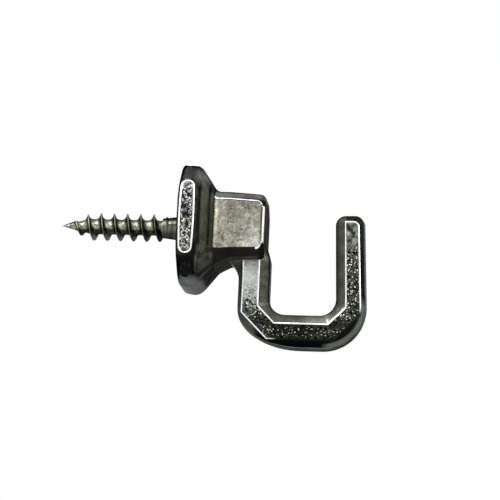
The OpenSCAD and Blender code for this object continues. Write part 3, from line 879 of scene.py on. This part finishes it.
def pitted_and_painted_light():
    """The hook's cast flats: grainy and pitted, with bright glints that are painted highlights and a
    painted reflection, paler up on the root arm than along the foot; smooth high on the root arm
    and smooth and blotched at the front arm's tip."""
    n = Nodes("nickel_pitted")
    x, _, z = n.xyz()
    grain = n.noise(2.7, 4.0, 0.7)
    spots = n.cells(2.6)
    tip = n.remap(z, *SMOOTH_TIP_Z)
    # The painted reflection: paler high on the root arm and up the front arm
    root = n.times(n.ease(x, *ROOT_ARM_X, 1.0, 0.0), n.ease(z, *ROOT_ARM_Z, 0.1, 0.85))
    root = n.times(root, n.remap(z, *UNDER_BOSS_FADE_Z, 1.0, 0.85))
    front = n.times(n.remap(x, *FRONT_ARM_X), n.remap(z, *FRONT_ARM_Z, 0.1, 0.34))
    slow = n.remap(n.noise(0.6, 2.0, 0.5), 0.35, 0.65, -0.06, 0.08)
    light = n.math("ADD", n.math("MAXIMUM", root, front), slow)
    blotches = n.remap(n.noise(1.3, 2.0, 0.5), 0.4, 0.6, -0.3, 0.3)
    light = n.math("ADD", light, n.times(tip, blotches))
    base = n.colour(light, (0.0, 0.016, OLIVE), (0.25, 0.08, OLIVE), (0.6, 0.24, GREENISH), (1.0, 0.58))
    smoothed = n.times(n.remap(x, *SMOOTH_ROOT_X, 1.0, 0.0), n.remap(z, *SMOOTH_ROOT_Z))
    smoothed = n.math("MAXIMUM", smoothed, n.times(tip, 1.1))
    rough = n.math("SUBTRACT", 1.0, n.times(smoothed, 0.8))
    colour = n.blend(n.times(n.ease(grain, 0.44, 0.51, 1.0, 0.0), rough), base, shade(0.003))
    # The glints are painted highlights. They come in clusters, and along the foot they keep to the
    # middle of the flat
    clusters = n.ease(n.noise(1.1, 2.0, 0.5), 0.42, 0.54, 0.35, 1.0)
    glint = n.times(n.ease(spots, 0.2, 0.34, 1.0, 0.0), clusters)
    edges = n.times(n.remap(n.off(z, FOOT_MIDDLE_Z), *FOOT_GLINTS), n.remap(z, *FOOT_TOP_Z, 1.0, 0.0))
    glint = n.times(n.times(glint, rough), n.math("SUBTRACT", 1.0, edges))
    glint = n.times(glint, n.remap(z, *GLINTS_Z, 0.55, 0.95))
    colour = n.blend(glint, colour, shade(0.85, PALE))
    n.bump(n.math("SUBTRACT", grain, n.times(spots, 0.3)), 0.8, 0.1)
    return n.finish(colour, n.remap(grain, 0.35, 0.65, 0.42, 0.26), tint=0.4)


def back_finish():
    """The wall face, left as cast under the plating: dull and mottled grey."""
    n = Nodes("nickel_back")
    grain = n.noise(2.2, 4.0, 0.65)
    fac = n.share(grain, n.noise(0.35, 3.0, 0.5), 0.5)
    colour = n.colour(fac, (0.38, 0.05), (0.5, 0.1), (0.62, 0.17))
    n.bump(grain, 0.6, 0.08)
    return n.finish(colour, n.remap(grain, 0.3, 0.7, 0.4, 0.6), tint=0.4)


# Where the boss's sides take painted shade above the middle, in the cove and along the lower
# edge, a painted highlight towards the lower front corner, and a dark line of painted shade
# along the front edge
UPPER_X, UPPER_Z, DARK_COVE_X = (5.8, 7.0), (-0.5, 2.8), (5.1, 5.9)
PAINTED_HIGHLIGHT_X, PAINTED_HIGHLIGHT_Z, LOWER_EDGE_Z = (8.0, 11.5), (-4.0, 0.5), (-3.85, -3.4)
DARK_LINE_X, DARK_LINE_HALF = 12.03, (0.03, 0.1)


def satin_and_painted_light():
    """The boss's sides: pale and softly mottled, like orange peel, with painted shade and a painted
    highlight.
    """
    n = Nodes("nickel_satin")
    x, _, z = n.xyz()
    grain = n.noise(3.0, 4.0, 0.65)
    fac = n.share(n.noise(0.9, 3.0, 0.6), grain, 0.5)
    colour = n.colour(fac, (0.38, 0.12, SAND), (0.46, 0.25, SAND), (0.54, 0.34, SAND), (0.62, 0.55, SAND))
    # Painted shade above the middle, in the cove and along the lower edge, a painted highlight towards
    # the lower front corner, and a line of painted shade along the front edge
    upper = n.times(n.remap(x, *UPPER_X), n.ease(z, *UPPER_Z, 0.0, 0.45))
    colour = n.blend(upper, colour, shade(0.12, SAND))
    colour = n.blend(n.remap(x, *DARK_COVE_X, 0.45, 0.0), colour, shade(0.02, WARM))
    painted_highlight = n.times(n.ease(x, *PAINTED_HIGHLIGHT_X), n.ease(z, *PAINTED_HIGHLIGHT_Z, 0.32, 0.0))
    colour = n.blend(painted_highlight, colour, shade(0.8))
    colour = n.blend(n.remap(z, *LOWER_EDGE_Z, 0.5, 0.0), colour, shade(0.03, WARM))
    colour = n.blend(n.remap(n.off(x, DARK_LINE_X), *DARK_LINE_HALF, 0.85, 0.0), colour, shade(0.01))
    n.bump(fac, 0.8, 0.12)
    return n.finish(colour, n.remap(grain, 0.3, 0.7, 0.3, 0.45), tint=0.5)


def grain_and_painted_glints(name, pit, mid, glint, rarer=0.0):
    """The rim's panels: coarse bright grains in black pits. The levels are of the pits, the grains
    and their glints, which are painted highlights and come rarer the larger rarer is."""
    n = Nodes(name)
    fine = n.noise(7.5, 3.0, 0.6)
    fac = n.share(n.noise(3.6, 4.0, 0.75), fine, 0.35)
    colour = n.colour(fac, (0.44, pit), (0.49, mid), (0.52 + rarer, mid), (0.57 + rarer, glint))
    n.bump(fac, 0.9, 0.12)
    return n.finish(colour, n.remap(fine, 0.3, 0.7, 0.28, 0.5), tint=0.5)


# Where the thread gives way to the collar, the point's painted highlight ends and the ridge rises
# from the core; the heights of the core's and the collar's painted reflections, of the grey flanks
# and of the painted pale line
THREAD_X, POINT_HIGHLIGHT_X, RIDGE_R = (-3.4, -3.0), (-17.5, -17.2), (1.3, 1.6)
CORE_Z, COLLAR_Z, THREAD_LOWER_Z, PALE_LINE_Z = (-1.4, 1.4), (-2.0, 2.0), (-1.2, -0.5), (-1.0, 0.0)
# Half widths in pitches: the painted highlight on the crest, and the dark lines of painted shade
# beside it
PALE_LINE, DARK_LINE_AT, DARK_LINES = (0.02, 0.05), 0.1, (0.02, 0.06)


def steel_and_painted_light():
    """Rolled steel thread in painted reflections and shade: olive grey and palest round the middle,
    each crest a pale line between two dark ones, grey flanks below; the collar is plain but for
    painted reflections by height, and the point has a painted highlight along its middle."""
    n = Nodes("screw_steel")
    x, y, z = n.xyz()
    r = n.hypot(y, z)
    # The distance to the crest in pitches, positive on its side towards the wall
    turn = n.math("DIVIDE", n.math("ARCTAN2", n.times(y, -1.0), z), 2 * pi)
    along = n.math("DIVIDE", n.math("ADD", x, SCREW_L - THREAD_START), PITCH)
    place = n.math("SUBTRACT", n.math("FRACT", n.math("SUBTRACT", along, turn)), 0.5)
    off = n.math("ABSOLUTE", place)
    grain = n.noise(3.2, 4.0, 0.65)
    fac = n.share(grain, n.noise(0.9, 2.0, 0.5), 0.4)
    # The core, with a painted reflection palest round the middle
    root = n.colour(fac, (0.38, 0.1, OLIVE), (0.5, 0.27, OLIVE), (0.6, 0.6, OLIVE))
    height = n.colour(n.remap(z, *CORE_Z), (0.0, 0.1), (0.26, 0.1), (0.4, 1.0), (0.58, 0.95), (0.72, 0.5),
                      (0.82, 0.25), (1.0, 0.15))
    root = n.blend(1.0, root, height, "MULTIPLY")
    # The ridge's flanks, darker on the point's side of the crest as painted shade, and grey below
    lower = n.ease(z, *THREAD_LOWER_Z, 1.0, 0.0)
    flank = n.blend(n.remap(place, -0.05, 0.05), shade(0.075), shade(0.2))
    flank = n.blend(lower, n.colour(fac, (0.4, 0.06), (0.6, 0.14)), flank)
    colour = n.blend(n.times(n.ease(r, *RIDGE_R), n.math("MAXIMUM", lower, 0.55)), root, flank)
    # The lines on the crest: a painted highlight between two lines of painted shade
    lines = n.remap(n.off(off, DARK_LINE_AT), *DARK_LINES, 0.9, 0.0)
    lines = n.times(lines, n.math("SUBTRACT", 1.0, lower))
    colour = n.blend(lines, colour, shade(0.01))
    pale = n.times(n.remap(off, *PALE_LINE, 0.7, 0.0), n.remap(z, *PALE_LINE_Z, 0.3, 1.0))
    colour = n.blend(pale, colour, shade(0.45, OLIVE))
    # The collar, with painted reflections by height and turned streaks
    plain = n.colour(n.remap(z, *COLLAR_Z), (0.0, 0.03, OLIVE), (0.25, 0.05, OLIVE), (0.4, 0.15, OLIVE),
                     (0.62, 0.12, OLIVE), (0.72, 0.05, OLIVE), (0.8, 0.02, OLIVE), (1.0, 0.01, OLIVE))
    streaks = n.noise(1.0, 2.0, 0.5, n.stretched(3.5, 0.3, 0.3))
    plain = n.scaled(plain, n.remap(streaks, 0.35, 0.65, 0.5, 1.6))
    colour = n.blend(n.remap(x, *THREAD_X, 1.0, 0.0), plain, colour)
    # The point: a painted highlight along its middle, painted shade above and below it
    middle = n.remap(n.math("ABSOLUTE", n.math("DIVIDE", z, r)), 0.4, 0.65, 1.0, 0.0)
    shine = n.blend(middle, shade(0.02), shade(0.85))
    colour = n.blend(n.remap(x, *POINT_HIGHLIGHT_X, 1.0, 0.0), colour, shine)
    n.bump(grain, 0.5, 0.06)
    return n.finish(colour, n.remap(grain, 0.3, 0.7, 0.28, 0.45), tint=0.4)


# ---- Pieces ---------------------------------------------------------------------------------

# The largest angles that are shaded smooth
CASTING_ANGLE, PANEL_ANGLE, SCREW_ANGLE = 35, 60, 50
# How metallic the bevels are, and the boss's front, which is seen at a grazing angle
BEVEL_METALLIC, FRONT_METALLIC = 0.5, 0.12


def evaluated(obj, name):
    """The object with its modifiers applied, as a new object; the old one is removed."""
    depsgraph = bpy.context.evaluated_depsgraph_get()
    mesh = bpy.data.meshes.new_from_object(obj.evaluated_get(depsgraph))
    old = obj.data
    bpy.data.objects.remove(obj)
    bpy.data.meshes.remove(old)
    mesh.name = name
    out = bpy.data.objects.new(name, mesh)
    bpy.context.scene.collection.objects.link(out)
    return out


def boolean(obj, tool, operation, name):
    """The object joined with or cut by the tool, as a new object; both old ones are removed."""
    mod = obj.modifiers.new("cut", "BOOLEAN")
    mod.operation = operation
    mod.solver = "EXACT"
    mod.object = tool
    out = evaluated(obj, name)
    mesh = tool.data
    bpy.data.objects.remove(tool)
    bpy.data.meshes.remove(mesh)
    return out


def smooth(obj, angle):
    """Smooth shading with corners sharper than angle kept, and flats kept flat."""
    mesh = obj.data
    mesh.polygons.foreach_set("use_smooth", [True] * len(mesh.polygons))
    mesh.set_sharp_from_angle(angle=radians(angle))
    mod = obj.modifiers.new("normals", "WEIGHTED_NORMAL")
    mod.keep_sharp = True
    mod.weight = 90


def casting():
    """The casting and the panels on its rim."""
    edge = painted_edge_highlight()
    mats = (rosette_painted_reflections(), edge, pitted_and_painted_light(), satin_and_painted_light(),
            bevel_painted_reflections("nickel_bevel", BEVEL_METALLIC), throat_painted_reflections(), rim_finish(),
            bevel_painted_reflections("nickel_front", FRONT_METALLIC), back_finish())
    body = new_object("body", *rosette_and_boss(), mats)
    hook = new_object("hook", *j_hook(), mats)
    body = boolean(body, hook, "UNION", "body_and_hook")
    socket = new_object("socket", *turned(INSERT, INSERT_STEPS), None, mats)
    body = boolean(body, socket, "DIFFERENCE", "hook_casting")
    smooth(body, CASTING_ANGLE)
    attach(body, "root")
    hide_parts("hook_body")
    # The corner panels' grains are darker copies of the side panels', as painted shade, darkest low down
    panel_mats = (edge, grain_and_painted_glints("nickel_grain", 0.008, 0.13, 0.8), mats[ROSETTE],
                  grain_and_painted_glints("nickel_grain_shaded_low", 0.006, 0.008, 0.2, 0.07),
                  grain_and_painted_glints("nickel_grain_shaded_top", 0.03, 0.05, 0.16, 0.04))
    for side in SIDE_PANELS + CORNER_PANELS:
        if side in SIDE_PANELS:
            half_l, looks = SIDE_PANEL_L, SIDE_LOOKS
        else:
            half_l = CORNER_PANEL_L
            looks = TOP_CORNER_LOOKS if side in TOP_CORNER_PANELS else LOW_CORNER_LOOKS
        shape = panel(side, half_l, SHIFTS.get(side, 0), *looks)
        piece = new_object(f"rim_panel_{side}", *shape, panel_mats)
        smooth(piece, PANEL_ANGLE)
        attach(piece, "root")


def screw():
    mats = (steel_and_painted_light(),)
    core = new_object("core", *threaded_core(), None, mats)
    shank = new_object("shank", *turned(INSERT, INSERT_STEPS), None, mats)
    piece = boolean(core, shank, "UNION", "screw_steel")
    smooth(piece, SCREW_ANGLE)
    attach(piece, "root")
    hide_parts("wood_screw")


casting()
screw()

# ---- Stage ----------------------------------------------------------------------------------

FLOOR_Z = cad_bounds[0][2] - 0.1
FLOOR_HALF = 1.5
FLOOR_GREY = 0.85
# The world's strength on the object, where a background of 1 is white
AMBIENT = 0.55
# Each lamp's place, size and power, and what both look at
LAMPS = {"key": ((-0.25, -0.35, 0.45), 0.35, 3.0), "fill": ((0.45, -0.25, 0.25), 0.3, 1.5)}
LAMP_TARGET = Vector((0.006, 0, -0.004))

scene = bpy.context.scene


def floor():
    mesh = bpy.data.meshes.new("floor")
    s = FLOOR_HALF
    mesh.from_pydata([(-s, -s, 0), (s, -s, 0), (s, s, 0), (-s, s, 0)], [], [(0, 1, 2, 3)])
    obj = bpy.data.objects.new("floor", mesh)
    obj.matrix_world = Matrix.Translation((0, 0, FLOOR_Z))
    scene.collection.objects.link(obj)
    mat = bpy.data.materials.new("floor")
    mat.use_nodes = True
    bsdf = mat.node_tree.nodes["Principled BSDF"]
    bsdf.inputs["Base Color"].default_value = (FLOOR_GREY, FLOOR_GREY, FLOOR_GREY, 1)
    bsdf.inputs["Roughness"].default_value = 0.9
    mesh.materials.append(mat)


def studio_world():
    """White where the camera, metal or glass sees it, and AMBIENT as light."""
    world = bpy.data.worlds.new("studio")
    scene.world = world
    world.use_nodes = True
    tree = world.node_tree
    path = tree.nodes.new("ShaderNodeLightPath")
    seen = path.outputs["Is Camera Ray"]
    for ray in ("Is Glossy Ray", "Is Transmission Ray"):
        either = tree.nodes.new("ShaderNodeMath")
        either.operation = "MAXIMUM"
        tree.links.new(seen, either.inputs[0])
        tree.links.new(path.outputs[ray], either.inputs[1])
        seen = either.outputs[0]
    level = tree.nodes.new("ShaderNodeMapRange")
    level.inputs["To Min"].default_value = AMBIENT
    level.inputs["To Max"].default_value = 1.0
    tree.links.new(seen, level.inputs["Value"])
    background = tree.nodes["Background"]
    background.inputs["Color"].default_value = (1, 1, 1, 1)
    tree.links.new(level.outputs[0], background.inputs["Strength"])


def lamps():
    for name, (place, size, watts) in LAMPS.items():
        lamp = bpy.data.lights.new(name, "AREA")
        lamp.shape = "SQUARE"
        lamp.size = size
        lamp.energy = watts
        obj = bpy.data.objects.new(name, lamp)
        obj.location = place
        obj.rotation_euler = (LAMP_TARGET - Vector(place)).to_track_quat("-Z", "Y").to_euler()
        scene.collection.objects.link(obj)


floor()
studio_world()
lamps()

# ---- Camera ---------------------------------------------------------------------------------

AZIMUTH, ELEVATION, ROLL = 5.9, -11.0, 2.6
DISTANCE, LENS, SENSOR = 0.375, 180.0, 36.0
# How far the camera's axis passes beside the origin, to the right and up, at the object
AXIS_RIGHT, AXIS_UP = 0.010071, -0.002715


def camera():
    """A camera at the photograph's angle: along +Y, from below, a little from +X, and rolled."""
    a, e, roll = radians(AZIMUTH), radians(ELEVATION), radians(ROLL)
    level = Vector((cos(a), sin(a), 0))
    upright = Vector((-sin(a) * sin(e), cos(a) * sin(e), cos(e)))
    ahead = Vector((-sin(a) * cos(e), cos(a) * cos(e), -sin(e)))
    right = level * cos(roll) + upright * sin(roll)
    up = upright * cos(roll) - level * sin(roll)
    data = bpy.data.cameras.new("camera")
    data.lens = LENS
    data.sensor_width = SENSOR
    data.clip_start = 0.01
    data.clip_end = 20.0
    obj = bpy.data.objects.new("camera", data)
    m = Matrix((right, up, -ahead)).transposed().to_4x4()
    m.translation = level * AXIS_RIGHT + upright * AXIS_UP - ahead * DISTANCE
    obj.matrix_world = m
    scene.collection.objects.link(obj)
    scene.camera = obj


camera()
scene.view_settings.view_transform = "Standard"

bpy.context.view_layer.update()
